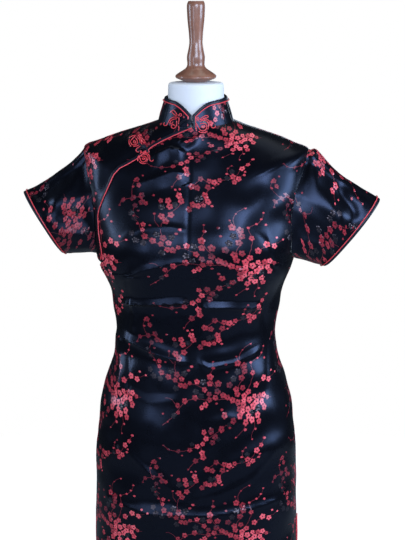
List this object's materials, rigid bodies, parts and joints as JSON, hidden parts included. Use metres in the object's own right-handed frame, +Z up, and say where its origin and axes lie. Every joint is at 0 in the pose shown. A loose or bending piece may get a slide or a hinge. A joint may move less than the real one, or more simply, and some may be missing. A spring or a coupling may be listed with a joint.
{
  "type": "cheongsam dress on a limbless dress form",
  "caption": "Knee-length plum-blossom brocade cheongsam with mandarin collar, slanted opening, cap sleeves and side slits, on a limbless dress form with a turned wooden stand.",
  "frame": {"origin": "middle of the stand's flat underside, on the floor", "axes": "+Z up along the pole; the dress faces -Y; +X is towards the wearer's left"},
  "size_m": [0.636, 0.376, 1.6183],
  "materials": {
    "plum_brocade": "near-black navy satin brocade with red plum blossom",
    "black_satin": "plain black satin binding and button knots",
    "red_piping": "red satin cord",
    "white_jersey": "matte white stretch jersey",
    "turned_wood": "varnished mid-brown turned wood"
  },
  "bodies": {
    "root": {"front_panel": "plum_brocade", "underlap_panel": "plum_brocade", "back_panel": "plum_brocade", "sleeve_right": "plum_brocade", "sleeve_left": "plum_brocade", "collar": "plum_brocade", "collar_binding": "black_satin", "placket_binding": "black_satin", "cuff_right_binding": "black_satin", "cuff_left_binding": "black_satin", "slit_front_left_binding": "black_satin", "slit_front_right_binding": "black_satin", "slit_back_left_binding": "black_satin", "slit_back_right_binding": "black_satin", "collar_piping": "red_piping", "placket_piping": "red_piping", "cuff_right_piping": "red_piping", "cuff_left_piping": "red_piping", "slit_front_left_piping": "red_piping", "slit_front_right_piping": "red_piping", "slit_back_left_piping": "red_piping", "slit_back_right_piping": "red_piping", "knot_collar": "black_satin", "knot_chest": "black_satin", "torso_form": "white_jersey", "finial": "turned_wood", "pole": "turned_wood", "base": "turned_wood", "frog_collar_right_flower": "red_piping", "frog_collar_right_leaf": "red_piping", "frog_collar_left_flower": "red_piping", "frog_collar_left_leaf": "red_piping", "frog_chest_upper_flower": "red_piping", "frog_chest_upper_leaf": "red_piping", "frog_chest_lower_flower": "red_piping", "frog_chest_lower_leaf": "red_piping"}
  },
  "joints": []
}
